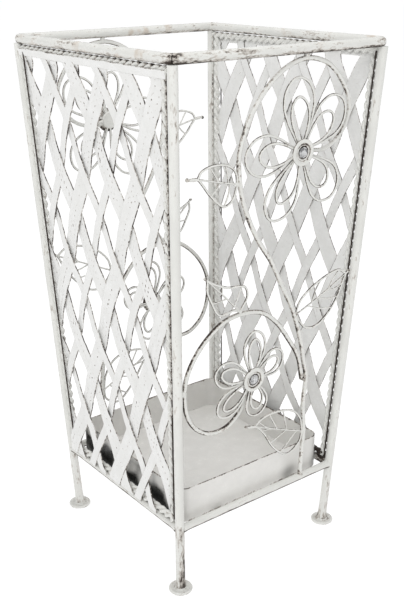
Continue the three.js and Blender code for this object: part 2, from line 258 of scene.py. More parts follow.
def spline(points, step):
    """Centripetal Catmull-Rom curve through the points, sampled about every step mm."""
    p = np.asarray(points, float)
    p = np.concatenate([[2 * p[0] - p[1]], p, [2 * p[-1] - p[-2]]])
    out = []
    for a, b, c, d in zip(p[:-3], p[1:-2], p[2:-1], p[3:]):
        t0 = 0.0
        t1 = t0 + math.sqrt(np.linalg.norm(b - a))
        t2 = t1 + math.sqrt(np.linalg.norm(c - b))
        t3 = t2 + math.sqrt(np.linalg.norm(d - c))
        count = max(2, round(np.linalg.norm(c - b) / step))
        t = np.linspace(t1, t2, count, endpoint=False)[:, None]
        ab = (t1 - t) / (t1 - t0) * a + (t - t0) / (t1 - t0) * b
        bc = (t2 - t) / (t2 - t1) * b + (t - t1) / (t2 - t1) * c
        cd = (t3 - t) / (t3 - t2) * c + (t - t2) / (t3 - t2) * d
        abc = (t2 - t) / (t2 - t0) * ab + (t - t0) / (t2 - t0) * bc
        bcd = (t3 - t) / (t3 - t1) * bc + (t - t1) / (t3 - t1) * cd
        out.append((t2 - t) / (t2 - t1) * abc + (t - t1) / (t2 - t1) * bcd)
    out.append(p[-2:-1])
    return np.concatenate(out)


def line(a, b, step=4.0):
    a, b = np.asarray(a, float), np.asarray(b, float)
    count = max(2, round(np.linalg.norm(b - a) / step) + 1)
    return a + np.linspace(0, 1, count)[:, None] * (b - a)


# Materials ----------------------------------------------------------------------------------------


class Nodes:
    """Short way to write a node material."""

    def __init__(self, name):
        self.material = bpy.data.materials.new(name)
        self.material.use_nodes = True
        self.tree = self.material.node_tree
        self.shader = self.tree.nodes["Principled BSDF"]

    def add(self, kind, inputs=None, **settings):
        node = self.tree.nodes.new("ShaderNode" + kind)
        for key, value in settings.items():
            setattr(node, key, value)
        for key, value in (inputs or {}).items():
            self.feed(node.inputs[key], value)
        return node

    def feed(self, socket, value):
        if isinstance(value, bpy.types.NodeSocket):
            self.tree.links.new(value, socket)
        else:
            socket.default_value = value

    def math(self, operation, a, b=0.0, clamp=False):
        return self.add("Math", {0: a, 1: b}, operation=operation, use_clamp=clamp).outputs[0]

    def noise(self, place, scale, detail=3.0, roughness=0.55):
        inputs = {"Vector": place, "Scale": scale, "Detail": detail, "Roughness": roughness}
        return self.add("TexNoise", inputs).outputs["Fac"]

    def between(self, value, low, high):
        inputs = {"Value": value, "From Min": low, "From Max": high}
        return self.add("MapRange", inputs, interpolation_type="SMOOTHSTEP").outputs["Result"]

    def mix(self, factor, a, b):
        node = self.add("Mix", data_type="RGBA")
        self.feed(node.inputs[0], factor)
        self.feed(node.inputs[6], a)
        self.feed(node.inputs[7], b)
        return node.outputs[2]

    def place(self, stretch=(1.0, 1.0, 1.0)):
        place = self.add("TexCoord").outputs["Object"]
        return self.add("Mapping", {"Vector": place, "Scale": stretch}).outputs["Vector"]


PAINT = (0.775, 0.775, 0.745, 1)
PAINT_SHADE = (0.70, 0.70, 0.67, 1)
RUBBED = (0.40, 0.355, 0.31, 1)
PATINA = (0.045, 0.034, 0.028, 1)
RUST = (0.42, 0.27, 0.15, 1)
SHADE_BLACK = (0.012, 0.012, 0.011, 1)
STRIP_WHITE = (0.81, 0.81, 0.80, 1)
STRIP_SHADE = (0.77, 0.77, 0.755, 1)
TRAY_WHITE = (0.795, 0.785, 0.76, 1)
TRAY_SHADE = (0.755, 0.745, 0.72, 1)
PATCH_SCALE = 70.0
GRAIN_SCALE = 420.0
DUST_SCALE = 1500.0
RUST_SCALE = 38.0


def distressed_paint(name, paint=PAINT, shade=PAINT_SHADE, rub=0.0, stretch=(1, 1, 1), dimples=0.0,
                     rust=0.0, soot=False):
    """Brushed white paint over a brown-black patina. rub lets more of the patina through everywhere,
    stretch draws the patches out along the axes where it is small, and dimples adds fine dents."""
    n = Nodes(name)
    place = n.place()
    streaky = n.place(stretch)
    patches = n.noise(streaky, PATCH_SCALE, 4.0, 0.6)
    grains = n.noise(streaky, GRAIN_SCALE, 3.0, 0.65)
    dust = n.noise(place, DUST_SCALE, 2.0)
    wear = n.add("Attribute", attribute_name="wear").outputs["Fac"]
    worn = n.math("ADD", wear, n.math("MULTIPLY", n.math("SUBTRACT", patches, 0.5), 1.7))
    worn = n.math("ADD", worn, n.math("MULTIPLY", n.math("SUBTRACT", grains, 0.5), 1.5))
    worn = n.math("ADD", worn, rub)
    thin = n.between(worn, 0.42, 0.72)
    bare = n.between(worn, 0.68, 0.95)
    tone = n.mix(n.between(patches, 0.35, 0.68), shade, paint)
    if rust:
        rusty = n.math("MULTIPLY", n.between(n.noise(place, RUST_SCALE, 3.0), 0.56, 0.7), rust)
        tone = n.mix(rusty, tone, RUST)
    colour = n.mix(n.math("MULTIPLY", thin, 0.75), tone, RUBBED)
    colour = n.mix(bare, colour, PATINA)
    # Painted shade: the attribute read here darkens the paint towards black where shadow is painted in.
    if soot:
        shade_amount = n.add("Attribute", attribute_name="soot").outputs["Fac"]
        colour = n.mix(n.between(shade_amount, 0.0, 1.0), colour, SHADE_BLACK)
    height = n.math("ADD", n.math("MULTIPLY", bare, -0.7), n.math("MULTIPLY", dust, 0.35))
    height = n.math("ADD", height, n.math("MULTIPLY", grains, 0.5))
    if dimples:
        hits = n.add("TexVoronoi", {"Vector": streaky, "Scale": 210.0}, feature="SMOOTH_F1")
        from_hit = hits.outputs["Distance"]
        dents = n.between(from_hit, 0.0, 0.55)
        height = n.math("ADD", height, n.math("MULTIPLY", dents, dimples))
        pits = n.math("MULTIPLY", n.between(from_hit, 0.14, 0.06), n.between(grains, 0.5, 0.6))
        colour = n.mix(n.math("MULTIPLY", pits, 0.7), colour, RUBBED)
    bump = n.add("Bump", {"Height": height, "Distance": 0.0004, "Strength": 0.55})
    n.feed(n.shader.inputs["Base Color"], colour)
    n.feed(n.shader.inputs["Roughness"], n.between(n.math("ADD", worn, dust), 0.0, 2.4))
    n.feed(n.shader.inputs["Normal"], bump.outputs["Normal"])
    n.shader.inputs["Specular IOR Level"].default_value = 0.35
    return n.material


def clear_stone():
    n = Nodes("clear_stone")
    flaws = n.noise(n.place(), 900.0)
    n.feed(n.shader.inputs["Base Color"], n.mix(flaws, (0.95, 0.96, 0.97, 1), (1, 1, 1, 1)))
    n.feed(n.shader.inputs["Roughness"], n.between(flaws, -0.4, 4.0))
    n.shader.inputs["Transmission Weight"].default_value = 0.85
    n.shader.inputs["IOR"].default_value = 1.6
    return n.material


def stone_foil(name, dark_reflection_share):
    """Mirror foil behind a stone, its colour in facets of light and dark that are painted reflections."""
    n = Nodes(name)
    facets = n.add("TexVoronoi", {"Vector": n.place(), "Scale": 420.0})
    tone = n.add("SeparateColor", {0: facets.outputs["Color"]}).outputs[0]
    dark = n.between(tone, 1 - dark_reflection_share, 1.05 - dark_reflection_share)
    n.feed(n.shader.inputs["Base Color"], n.mix(dark, (0.9, 0.9, 0.9, 1), (0.10, 0.10, 0.11, 1)))
    n.feed(n.shader.inputs["Roughness"], n.between(tone, -0.5, 3.0))
    n.shader.inputs["Metallic"].default_value = 0.3
    return n.material


BAR_PAINT = distressed_paint("bar_paint", stretch=(1, 1, 0.3), rub=-0.02)
RIM_PAINT = {
    "x": distressed_paint("rim_paint_x", rub=0.06, rust=0.4, stretch=(0.5, 1.3, 1.3)),
    "y": distressed_paint("rim_paint_y", rub=0.06, rust=0.4, stretch=(1.3, 0.5, 1.3)),
}
RAIL_PAINT = {
    "x": distressed_paint("rail_paint_x", rub=0.02, stretch=(0.25, 1, 1)),
    "y": distressed_paint("rail_paint_y", rub=0.02, stretch=(1, 0.25, 1)),
}
FOOT_PAINT = distressed_paint("foot_paint", rub=0.02)
ROPE_PAINT = distressed_paint("rope_paint")
STRIP_PAINT = distressed_paint("strip_paint", STRIP_WHITE, STRIP_SHADE, rub=-0.08, dimples=0.8, soot=True)
WIRE_PAINT = distressed_paint("wire_paint", rub=0.02)
TRAY_PAINT = distressed_paint("tray_paint", TRAY_WHITE, TRAY_SHADE, rub=-0.16, soot=True)
STONE = clear_stone()
# Painted reflections: the foil's light and dark facets stand for what the stones reflect.
FOIL = {"upper": stone_foil("foil_dark_reflections", 0.35), "lower": stone_foil("foil_light_reflections", 0.15)}


# Frame --------------------------------------------------------------------------------------------


SIDES = ("front", "right", "back", "left")
STREAK_ANGLE = -80.0
RIM_BEND = 6.0
RIM_SIDES = 24
RAIL_RINGS = 70


def corner(side_x, side_y, height):
    return np.array((side_x * half_at("x", height), side_y * half_at("y", height), height))


def make_posts():
    sides = 32
    angle = 2 * np.pi * np.arange(sides) / sides
    for end, side_y in (("front", -1), ("back", 1)):
        for hand, side_x in (("left", -1), ("right", 1)):
            name = f"post_{end}_{hand}"
            low, high = box_mm(name)
            path = line(corner(side_x, side_y, low[2] - 2), corner(side_x, side_y, high[2] + 1), 3.0)
            above = (path[:, 2] - low[2])[:, None]
            radius = POST_RADIUS + 1.1 * np.exp(-np.maximum(above[:, 0], 0) / 2.5)
            surface = Surface()
            tube(surface, path, radius, sides, 0.0, 0.0, 0.16, (1, 0, 0), side_x + 3 * side_y + 5, False)
            # Painted shade: a dark line on the front posts' face towards the twisted rod, above the rail.
            to_rope = (end == "front") * smooth(-side_y * np.sin(angle), 0.78, 0.93)[None, :]
            beside_rope = smooth(path[:, 2], RAIL_HEIGHT + 2, RAIL_HEIGHT + 8)[:, None]
            streak = smooth(np.cos(angle - np.radians(STREAK_ANGLE)), 0.1, 0.95)[None, :]
            streak_wear = 0.34 if side_x * side_y > 0 else 0.08
            leg_wear = 0.08 + streak_wear * streak + 0.3 * np.exp(-above / 22)
            wear = 0.27 + 0.95 * to_rope * beside_rope + (1 - beside_rope) * leg_wear
            surface.wear = wear.ravel().tolist()
            surface.piece(f"leg_{end}_{hand}", [BAR_PAINT], STAND, "frame_paint", [name])


def make_feet():
    r = FOOT_RADIUS
    profile = [
        (0, 0), (r - 1.4, 0), (r - 0.5, 0.4), (r, 1.3), (r, 2.0), (r - 0.5, 2.8), (r - 1.4, 3.1),
        (r - 2.6, 2.8), (r - 4.2, 2.1), (r - 5.4, 2.2), (r - 6.3, 3.0), (r - 7.0, 4.4), (r - 7.6, 6.0),
        (0, 6.0),
    ]
    wear = [0.5, 0.6, 0.7, 0.35, 0.2, 0.15, 0.3, 0.25, 0.35, 0.55, 0.5, 0.4, 0.35, 0.3]
    for end in ("front", "back"):
        for hand in ("left", "right"):
            name = f"foot_{end}_{hand}"
            centre = middle(name) * (1, 1, 0)
            surface = Surface()
            lathe(surface, centre, UP, profile, 48, wear)
            surface.piece(f"foot_disc_{end}_{hand}", [FOOT_PAINT], STAND, "frame_paint", [name])


def make_rim():
    bend = RIM_BEND
    angle = 2 * np.pi * np.arange(RIM_SIDES) / RIM_SIDES
    facing_up = np.cos(angle)[None, :]
    upper_row = np.exp(-((facing_up - 0.55) / 0.13) ** 2)
    for turns, side in enumerate(SIDES):
        panel = Panel(turns)
        half = RIM_HALF[panel.across]
        arc = np.radians(np.linspace(45, 0, 5))
        end_x = half - bend + bend * np.sin(arc)
        end_w = -bend + bend * np.cos(arc)
        straight = np.linspace(half - bend, -(half - bend), 70)[1:-1]
        x = np.concatenate([end_x, straight, -end_x[::-1]])
        inset = np.concatenate([end_w, np.zeros(len(straight)), end_w[::-1]])
        distance = RIM_HALF[panel.outwards] + inset
        path = x[:, None] * panel.along + distance[:, None] * panel.out + RIM_HEIGHT * UP
        surface = Surface()
        tube(surface, path, RIM_RADIUS - 0.15, RIM_SIDES, 0.0, 0.0, 0.14, UP, turns + 11, False)
        to_end = half - np.abs(x)
        near_corner = np.exp(-to_end / 14)
        rusted_end = {"front": -1, "left": 1}.get(side, 0) * x > 0
        rusted = rusted_end * np.exp(-to_end / 5.0)
        wear = 0.2 + 0.75 * np.clip(-facing_up - 0.2, 0, 1) + 0.22 * upper_row
        surface.wear = (wear + 0.2 * near_corner[:, None] + 0.3 * rusted[:, None]).ravel().tolist()
        surface.piece(f"rim_bar_{side}", [RIM_PAINT[panel.across]], STAND, "frame_paint", [f"rim_{side}"])


def make_rails():
    for turns, side in enumerate(SIDES):
        panel = Panel(turns)
        reach = panel.half(RAIL_HEIGHT) - POST_RADIUS * 0.6
        x = np.linspace(reach, -reach, RAIL_RINGS)
        path = panel.place(np.stack([x, np.full(RAIL_RINGS, RAIL_HEIGHT), np.zeros(RAIL_RINGS)], 1))
        to_post = panel.half(RAIL_HEIGHT) - POST_RADIUS - np.abs(x)
        radius = RAIL_RADIUS + 1.0 * np.exp(-np.maximum(to_post, 0) / 1.8)
        surface = Surface()
        tube(surface, path, np.minimum(radius, RAIL_RADIUS + 0.9), 20, 0.24, 2.4, 0.12, UP, turns + 21, False)
        # Painted shade towards the front end of the right rail, in the shadowed corner of the stand.
        if side == "right":
            to_front = np.array(surface.points)[:, 1] + half_at("y", RAIL_HEIGHT)
            surface.wear = (np.array(surface.wear) + 0.8 * smooth(-to_front, -30, -12)).tolist()
        surface.piece(f"rail_bar_{side}", [RAIL_PAINT[panel.across]], STAND, "frame_paint", [f"rail_{side}"])


# Lattice panels -----------------------------------------------------------------------------------

# Length of one full twist of the rods
TWIST = 19.5
STRAND_RADIUS = 0.57 * ROPE_RADIUS
STRAND_OFFSET = ROPE_RADIUS - STRAND_RADIUS
GAP_ROD_RADIUS = 0.75
# Painted shade: dark rods in the gaps beside the upright twisted rods, by the end of the panel they are
# at: the shift of each towards the post and outwards, and its wear below and above the lowest third.
GAP_SHADE_RODS = {
    "front": [(4.4, 2.6, 1.5, 0.75), (4.4, -2.9, 1.5, 1.5)],
    "back": [(-3.6, 3.3, 1.6, 1.6), (4.4, -2.9, 0.6, 0.6)],
}


def rope(surface, start, end, phase, outwards, shaded_side, shade_strength, groove=0.66):
    """Two strands twisted together, as one skin, with worn grooves and painted shade along one side."""
    sides = 24
    path = line(start, end, 0.95)
    travelled = np.linalg.norm(path - path[0], axis=1)
    side, other = frames(path, np.array((0.3, 0.4, 1.0)))
    angle = 2 * np.pi * np.arange(sides) / sides
    lobe = angle[None, :] + 2 * np.pi * travelled[:, None] / TWIST - phase
    pinch = STRAND_OFFSET * np.sin(lobe)
    radius = STRAND_OFFSET * np.abs(np.cos(lobe)) + np.sqrt(STRAND_RADIUS ** 2 - pinch ** 2)
    out = side[:, None] * np.cos(angle)[None, :, None] + other[:, None] * np.sin(angle)[None, :, None]
    points = path[:, None] + out * radius[..., None]
    depth = (ROPE_RADIUS - radius) / (ROPE_RADIUS - radius.min())
    open_side = 0.3 + 0.7 * smooth(out @ outwards, -0.5, 0.3)
    # Painted shade in the valley on the side towards the neighbouring part.
    soot = shade_strength * smooth(out @ unit(shaded_side), 0.8, 0.95)
    wear = 0.1 + groove * open_side * depth ** 2 + soot
    surface.add(points, grid_faces(len(path), sides), wear.ravel())


def add_rope_piece(surface, side, name):
    surface.piece(f"twisted_rod_{side}_{name}", [ROPE_PAINT], STAND, "frame_paint", [f"rope_{side}_{name}"])


def make_ropes(panel, side, end_of_negative_x, end_of_positive_x):
    """Twisted rods round the lattice. The upright ones have thin dark rods of painted shade beside them."""
    for name, height, phase, beside, shade_strength in (
        ("top", ROPE_TOP, 0.0, UP, 0.55),
        ("bottom", ROPE_BOTTOM, 1.0, -UP, 0.7),
    ):
        reach = panel.half(height) - POST_RADIUS + 0.5
        surface = Surface()
        start, end = panel.place((-reach, height, 0)), panel.place((reach, height, 0))
        rope(surface, start, end, phase, panel.normal, beside, shade_strength)
        # Painted shade towards the front end of the right bottom rod, in the shadowed corner of the stand.
        if (side, name) == ("right", "bottom"):
            to_front = np.array(surface.points)[:, 1] + half_at("y", RAIL_HEIGHT)
            surface.wear = (np.array(surface.wear) + 1.3 * smooth(-to_front, -34, -16)).tolist()
        add_rope_piece(surface, side, name)
    for name, hand in ((end_of_negative_x, -1), (end_of_positive_x, 1)):
        low, high = ROPE_BOTTOM, ROPE_TOP
        to_post = hand * panel.along
        # Painted shade faces the post at the front end, and away from it and inwards at the back end.
        shaded_side = to_post if name == "front" else -0.8 * to_post - 0.6 * panel.out
        surface = Surface()
        start = panel.place((hand * (panel.half(low) - ROPE_INSET), low, 0))
        end = panel.place((hand * (panel.half(high) - ROPE_INSET), high, 0))
        groove = 0.66 if name == "front" else 0.42
        rope(surface, start, end, 2.0 + hand, panel.normal, shaded_side, 0.25, groove)
        for towards_post, outwards, wear_low, wear_high in GAP_SHADE_RODS[name]:
            shift = towards_post * to_post + outwards * panel.out
            gap_rod = line(start + shift, end + shift, 3.0)
            fade = smooth(gap_rod[:, 2], 0.3 * high, 0.45 * high)[:, None]
            wear = wear_low + (wear_high - wear_low) * fade
            tube(surface, gap_rod, GAP_ROD_RADIUS, 10, wear, 0.0, 0.2, UP + to_post, hand + 35, False)
        blob(surface, start, 3.6, hand + 31)
        blob(surface, end, 3.4, hand + 33)
        add_rope_piece(surface, side, name)


WIDE_STRIP = 20.0
NARROW_STRIP = 11.0
STRIP_THICKNESS = 1.2
WEAVE = 1.0
DIMPLE_ROW = 4.2
DIMPLE_PITCH = 6.5
PHASE_HEIGHT = 499.0
FALLING = {"slope": -0.471, "spacing": 44.85, "start": -11.0}
RISING = {"slope": 0.55, "spacing": 48.7, "start": 15.5}
STRIP_FOOT = RAIL_HEIGHT + RAIL_RADIUS + 0.8
STRIP_HEAD = ROPE_TOP - 2.0
BAND_WIDTH = 7.6
BAND_MIDDLE = ROPE_TOP - ROPE_RADIUS + 0.9


def strip_number(family, mirror, x, height):
    """Which strip of a family passes a place, as a number that is whole on a strip's middle line."""
    across = mirror * x - family["slope"] * (height - PHASE_HEIGHT) - family["start"]
    return across / family["spacing"]


def clip_range(panel, origin, direction):
    """Where a line enters and leaves the panel inside its twisted rods, as distances along it."""
    lowest, highest = -1e9, 1e9
    slope = panel.half(1.0) - panel.half(0.0)
    edges = [
        ((0.0, -1.0), -STRIP_FOOT),
        ((0.0, 1.0), STRIP_HEAD),
        ((1.0, -slope), panel.half(0.0) - ROPE_INSET),
        ((-1.0, -slope), panel.half(0.0) - ROPE_INSET),
    ]
    for (a, b), limit in edges:
        rate = a * direction[0] + b * direction[1]
        room = limit - a * origin[0] - b * origin[1]
        if rate > 0:
            highest = min(highest, room / rate)
        elif rate < 0:
            lowest = max(lowest, room / rate)
    return lowest, highest


def strip_section(width):
    """Across and through-thickness places round a strip's section, with its wear."""
    half, thick = width / 2, STRIP_THICKNESS / 2
    inner = np.linspace(-half + 1.0, half - 1.0, 15 if width > 15 else 8)
    face = [(-half + 0.35, thick, 0.45), *((t, thick, 0.06) for t in inner), (half - 0.5, thick, 0.8)]
    edge = [(half, thick * 0.5, 0.9), (half, -thick * 0.5, 0.9)]
    back = [(t, -height, wear) for t, height, wear in face[::-1]]
    other = [(-t, -height, wear) for t, height, wear in edge]
    return np.array(face + edge + back + other)


def dimples(along, aside):
    """Short slanting hammer marks in rows along a wide strip, 1 in the middle of a mark."""
    row = np.round(aside / DIMPLE_ROW)
    across = aside - row * DIMPLE_ROW
    step = along / DIMPLE_PITCH + 0.37 * row
    nearest = np.round(step)
    down = (step - nearest) * DIMPLE_PITCH
    lean = across - 0.45 * down
    missed = np.sin(nearest * 12.9898 + row * 78.233) > 0.35
    mark = np.exp(-(lean / 0.75) ** 2 - (down / 2.3) ** 2)
    return np.where(missed | (np.abs(aside) > WIDE_STRIP / 2 - 2.5), 0.0, mark)


def weave_strip(surface, panel, family, crossing, mirror, number, over):
    width = WIDE_STRIP if number % 2 == 0 else NARROW_STRIP
    lean = math.atan(family["slope"]) * mirror
    direction = np.array((math.sin(lean), math.cos(lean)))
    sideways = np.array((direction[1], -direction[0]))
    start = np.array((mirror * (family["start"] + number * family["spacing"]), PHASE_HEIGHT))
    section = strip_section(width)
    ranges = np.array([clip_range(panel, start + sideways * t, direction) for t in section[:, 0]])
    if (ranges[:, 1] - ranges[:, 0]).min() < 14:
        return
    step = 1.3 if width > 15 else 2.4
    rings = max(6, round((ranges[:, 1] - ranges[:, 0]).max() / step))
    share = np.linspace(0, 1, rings)[:, None]
    along = ranges[None, :, 0] + share * (ranges[None, :, 1] - ranges[None, :, 0])
    flat = start + section[None, :, 0, None] * sideways + along[..., None] * direction
    x, height = flat[..., 0], flat[..., 1]
    beat = np.cos(np.pi * (strip_number(crossing, mirror, x, height) + number))
    weave = over * WEAVE * beat * (1.5 - 0.5 * beat ** 2)
    to_rope = smooth(height, ROPE_BOTTOM + ROPE_RADIUS - 4, ROPE_BOTTOM + ROPE_RADIUS + 50)
    foot_lift = ROPE_RADIUS + STRIP_THICKNESS * 0.7 + (0.6 if over > 0 else 0.0)
    to_head = np.clip((ROPE_TOP - ROPE_RADIUS - height) / 10, 0, 1)
    weave = weave * to_rope * to_head + foot_lift * (1 - to_rope) + 2.6 * (1 - to_head)
    lift = weave + section[None, :, 1]
    flat_3d = np.stack([x, height, lift], -1)
    bent = jitter(flat_3d * (1, 1, 0), 55.0, 0.9, number + 40 + over)
    dents = jitter(flat_3d, 4.5, 0.22, number + 60)
    marks = dimples(along, section[None, :, 0] + 0 * along) if width > 15 else np.zeros_like(along)
    flat_3d[..., 2] += bent + dents - 0.3 * marks * np.sign(section[None, :, 1])
    flat_3d[..., 0] += jitter(flat_3d * (0.2, 1, 0), 90.0, 1.1, number + 80)
    wear = np.maximum(section[None, :, 2], marks * (section[None, :, 1] > 0))
    placed = panel.place(flat_3d)
    # Painted shade on the strips low down near the front posts, in the shadowed corner of the stand.
    to_foot = np.hypot(placed[..., 1] + half_at("y", RAIL_HEIGHT) - 8, 0.5 * (placed[..., 2] - RAIL_HEIGHT))
    soot = 0.75 * np.exp(-(to_foot / 13) ** 2)
    surface.add(placed, grid_faces(rings, len(section), mirror < 0), wear, soot=soot)


def top_band(surface, panel):
    """Flat strip along the top that the strips' ends are welded to, leaning against the twisted rod."""
    section = strip_section(BAND_WIDTH)
    height = BAND_MIDDLE + section[:, 0]
    lean = np.interp(section[:, 0], (-BAND_WIDTH / 2, BAND_WIDTH / 2), (2.3, 4.3))
    reach = panel.half(BAND_MIDDLE) - POST_RADIUS - 0.8
    x = np.linspace(-reach, reach, 110)[:, None] + 0 * height[None, :]
    flat = np.stack([x, height + 0 * x, lean + section[:, 1] + 0 * x], -1)
    flat[..., 1] += jitter(flat * (1, 0, 0), 60.0, 0.8, 121)
    flat[..., 2] += jitter(flat, 14.0, 0.4, 122)
    surface.add(panel.place(flat), grid_faces(len(x), len(section), True), section[None, :, 2] * 0.8 + 0 * x)


def make_lattice(side, turns, mirror, end_of_negative_x, end_of_positive_x):
    panel = Panel(turns)
    make_ropes(panel, side, end_of_negative_x, end_of_positive_x)
    families = (("falling", FALLING, RISING, 1), ("rising", RISING, FALLING, -1))
    for name, family, crossing, over in families:
        surface = Surface()
        for number in range(-12, 13):
            weave_strip(surface, panel, family, crossing, mirror, number, over * -mirror)
        if name == "falling":
            top_band(surface, panel)
        surface.piece(f"strips_{side}_{name}", [STRIP_PAINT], STAND, "strip_paint", [f"lattice_{side}"])


# Scroll panels ------------------------------------------------------------------------------------

STEM_RADIUS = 2.3
PETAL_RADIUS = 1.25
LEAF_RADIUS = 1.15
VEIN_RADIUS = 0.75
PETAL_OFFSET = 3.9
CUP_OFFSET = PETAL_OFFSET + 1.4
GEM_LIFT = 1.6
CUP_RADIUS = size("front_upper_cup")[0] / 2
GEM_RADIUS = size("front_upper_gem")[0] / 2

# Each route is a list of (x, height) on the panel.
STEM_ROUTE = [
    (60, 80), (60, 110), (60, 137), (56, 172), (57, 202), (52, 222), (45, 248), (30, 287), (13, 317),
    (-3, 345), (-22, 371), (-38, 400), (-48, 430), (-50, 458), (-40, 488), (-20, 515), (2, 530.5),
    (25, 536.2), (52, 530), (73, 512), (85, 490), (82, 470), (70, 456), (54, 449), (34, 451),
]
RING_ROUTE = [
    (50, 205), (43, 230), (27, 255), (8, 279), (-12, 294), (-38, 299), (-62, 295), (-85, 278), (-100, 256),
    (-105, 236), (-102, 210), (-91, 190), (-72, 177.5), (-50, 178), (-34, 191), (-27, 210),
]
FLOWERS = {
    "upper": {
        "centre": (21, 451.5),
        "angles": (98, 40, -45, -117, 178),
        "outer": (37.5, (69.5, 68, 68, 69.5, 67)),
        "inner": (22, (52, 50, 50, 52, 51)),
    },
    "lower": {
        "centre": (-24, 227),
        "angles": (88, 22, -75, 217, 158),
        "outer": (27, (51, 44, 46.5, 50.5, 50)),
        "inner": (15.5, (43, 36.5, 38, 43, 42.5)),
    },
}
PETAL_OUTLINE = [
    (0.05, 0.03), (0.25, 0.22), (0.45, 0.4), (0.66, 0.5), (0.85, 0.42), (0.97, 0.2), (1, 0),
    (0.97, -0.2), (0.85, -0.42), (0.66, -0.5), (0.45, -0.4), (0.25, -0.22), (0.05, -0.03),
]
# Each leaf: its base on the stem, its tip, the two edges from base to tip, and its veins, each from a
# share of the way along the midrib to a share of the way along the named edge.
LEAVES = {
    "leaf_top": {
        "base": (-51, 430), "neck": (-97, 441), "tip": (-107.5, 441.7),
        "upper": [(-54, 441), (-65, 449.5), (-81, 451.5), (-93, 447)],
        "lower": [(-56, 416), (-67, 412), (-83, 424), (-92, 436)],
        "veins": [("upper", 0.25, 0.4), ("upper", 0.5, 0.62), ("lower", 0.2, 0.35), ("lower", 0.45, 0.58)],
        "bulge": 3.0,
    },
    "leaf_ring": {
        "base": (-40, 302), "neck": (-82, 343), "tip": (-84, 345),
        "upper": [(-33, 316), (-38, 328), (-44, 331), (-58, 332), (-72, 337)],
        "lower": [(-50, 306), (-60, 305), (-71, 308), (-78, 320), (-82.5, 333)],
        "veins": [("lower", 0.45, 0.62), ("lower", 0.1, 0.38), ("upper", 0.2, 0.45), ("upper", 0.6, 0.72)],
        "bulge": 5.0,
    },
    "leaf_side": {
        "base": (35, 280), "neck": (104, 311), "tip": (107, 313),
        "upper": [(38, 293), (46, 303), (56, 310), (74, 316.5), (92, 317.5)],
        "lower": [(42, 270), (50, 262.5), (62, 262), (76, 272), (92, 290)],
        "veins": [
            ("upper", 0.3, 0.5), ("upper", 0.62, 0.8), ("lower", 0.22, 0.6), ("lower", 0.42, 0.72),
            ("lower", 0.6, 0.84),
        ],
        "bulge": 4.0,
    },
    "leaf_low": {
        "base": (57.5, 136), "neck": (-12, 165), "tip": (-24, 168),
        "upper": [(53, 153), (38, 169), (14, 174.5), (-4, 171)],
        "lower": [(55, 124), (38, 115), (15, 131), (-1, 155)],
        "veins": [
            ("upper", 0.35, 0.5), ("upper", 0.55, 0.68), ("upper", 0.72, 0.82), ("lower", 0.12, 0.42),
            ("lower", 0.36, 0.6), ("lower", 0.6, 0.78),
        ],
        "bulge": 3.0,
    },
}


def on_panel(points, offset=0.0):
    points = np.asarray(points, float)
    return np.column_stack([points, np.full(len(points), offset)])


def wire(surface, panel, path, radius, seed, sides=16, wear=0.16, under=0.25, flank=0.7):
    tube(surface, panel.place(path), radius, sides, wear, under, 0.05, panel.normal, seed, flank=flank)


def make_stem(panel, side):
    surface = Surface()
    route = spline(STEM_ROUTE, 2.5)
    taper = np.interp(np.arange(len(route)), (0, len(route) * 0.8, len(route)), (2.45, 2.25, 1.9))
    wire(surface, panel, on_panel(route), taper, 51, 20, 0.2, 0.3, 0.4)
    blob(surface, panel.place((60, RAIL_HEIGHT + RAIL_RADIUS, 0)), 3.3, 52)
    blob(surface, panel.place((25, RIM_HEIGHT - RIM_RADIUS - 1.2, 0)), 2.6, 53)
    surface.piece(f"{side}_main_stem", [WIRE_PAINT], STAND, "wire_paint", [f"{side}_stem"])


def make_ring(panel, side):
    surface = Surface()
    route = spline(RING_ROUTE, 2.5)
    wire(surface, panel, on_panel(route), STEM_RADIUS, 54, 20, 0.26, 0.3, 0.6)
    blob(surface, panel.place((52.5, 203.5, 0)), 3.6, 55, 0.5)
    blob(surface, panel.place((-107.2, 233, 0)), 3.0, 56, 0.1)
    surface.piece(f"{side}_ring_scroll", [WIRE_PAINT], STAND, "wire_paint", [f"{side}_ring"])


def make_flower(panel, side, name, flower):
    centre = np.array(flower["centre"], float)
    surface = Surface()
    for layer, key in enumerate(("outer", "inner")):
        width, lengths = flower[key]
        for order, (degrees, length) in enumerate(zip(flower["angles"], lengths)):
            turn = math.radians(degrees)
            turned = np.array(((math.cos(turn), math.sin(turn)), (-math.sin(turn), math.cos(turn))))
            outline = np.array(PETAL_OUTLINE) * (length, width)
            route = spline(centre + outline @ turned, 1.6)
            reach = np.linalg.norm(route - centre, axis=1) / length
            dome = 1.4 * np.sin(np.pi * np.clip(reach, 0, 1))
            offset = PETAL_OFFSET + 0.9 * layer + dome - 0.5 * (order % 2)
            path = np.column_stack([route, offset])
            wire(surface, panel, path, PETAL_RADIUS, 60 + 10 * layer + order)
    hub = panel.place((*centre, PETAL_OFFSET - 1.8))
    lathe(surface, hub, panel.normal, [(0, 0), (8.5, 0), (9.5, 1.2), (9, 2.6), (0, 3)], 32)
    surface.piece(f"{side}_{name}_petal_loops", [WIRE_PAINT], STAND, "wire_paint", [f"{side}_{name}_petals"])


def make_cup(panel, side, name, centre):
    base = panel.place((*centre, CUP_OFFSET))
    r, g = CUP_RADIUS, GEM_RADIUS
    profile = [
        (0, 0), (r - 3.5, 0), (r - 1.2, 0.7), (r - 0.2, 1.9), (r, 2.9), (r - 0.5, 3.7), (r - 1.5, 4.0),
        (r - 2.8, 3.7), (g + 2.6, 2.9), (g + 1.6, 3.0), (g + 0.9, 2.7), (g + 0.5, 1.7), (g * 0.5, 1.3),
        (0, 1.3),
    ]
    wear = [0.4, 0.5, 0.9, 1.0, 0.7, 0.1, 0.1, 0.2, 0.85, 0.2, 0.6, 0.9, 0.9, 0.9]
    surface = Surface()
    lathe(surface, base, panel.normal, profile, 48, wear)
    surface.piece(f"{side}_{name}_dish", [WIRE_PAINT], STAND, "wire_paint", [f"{side}_{name}_cup"])


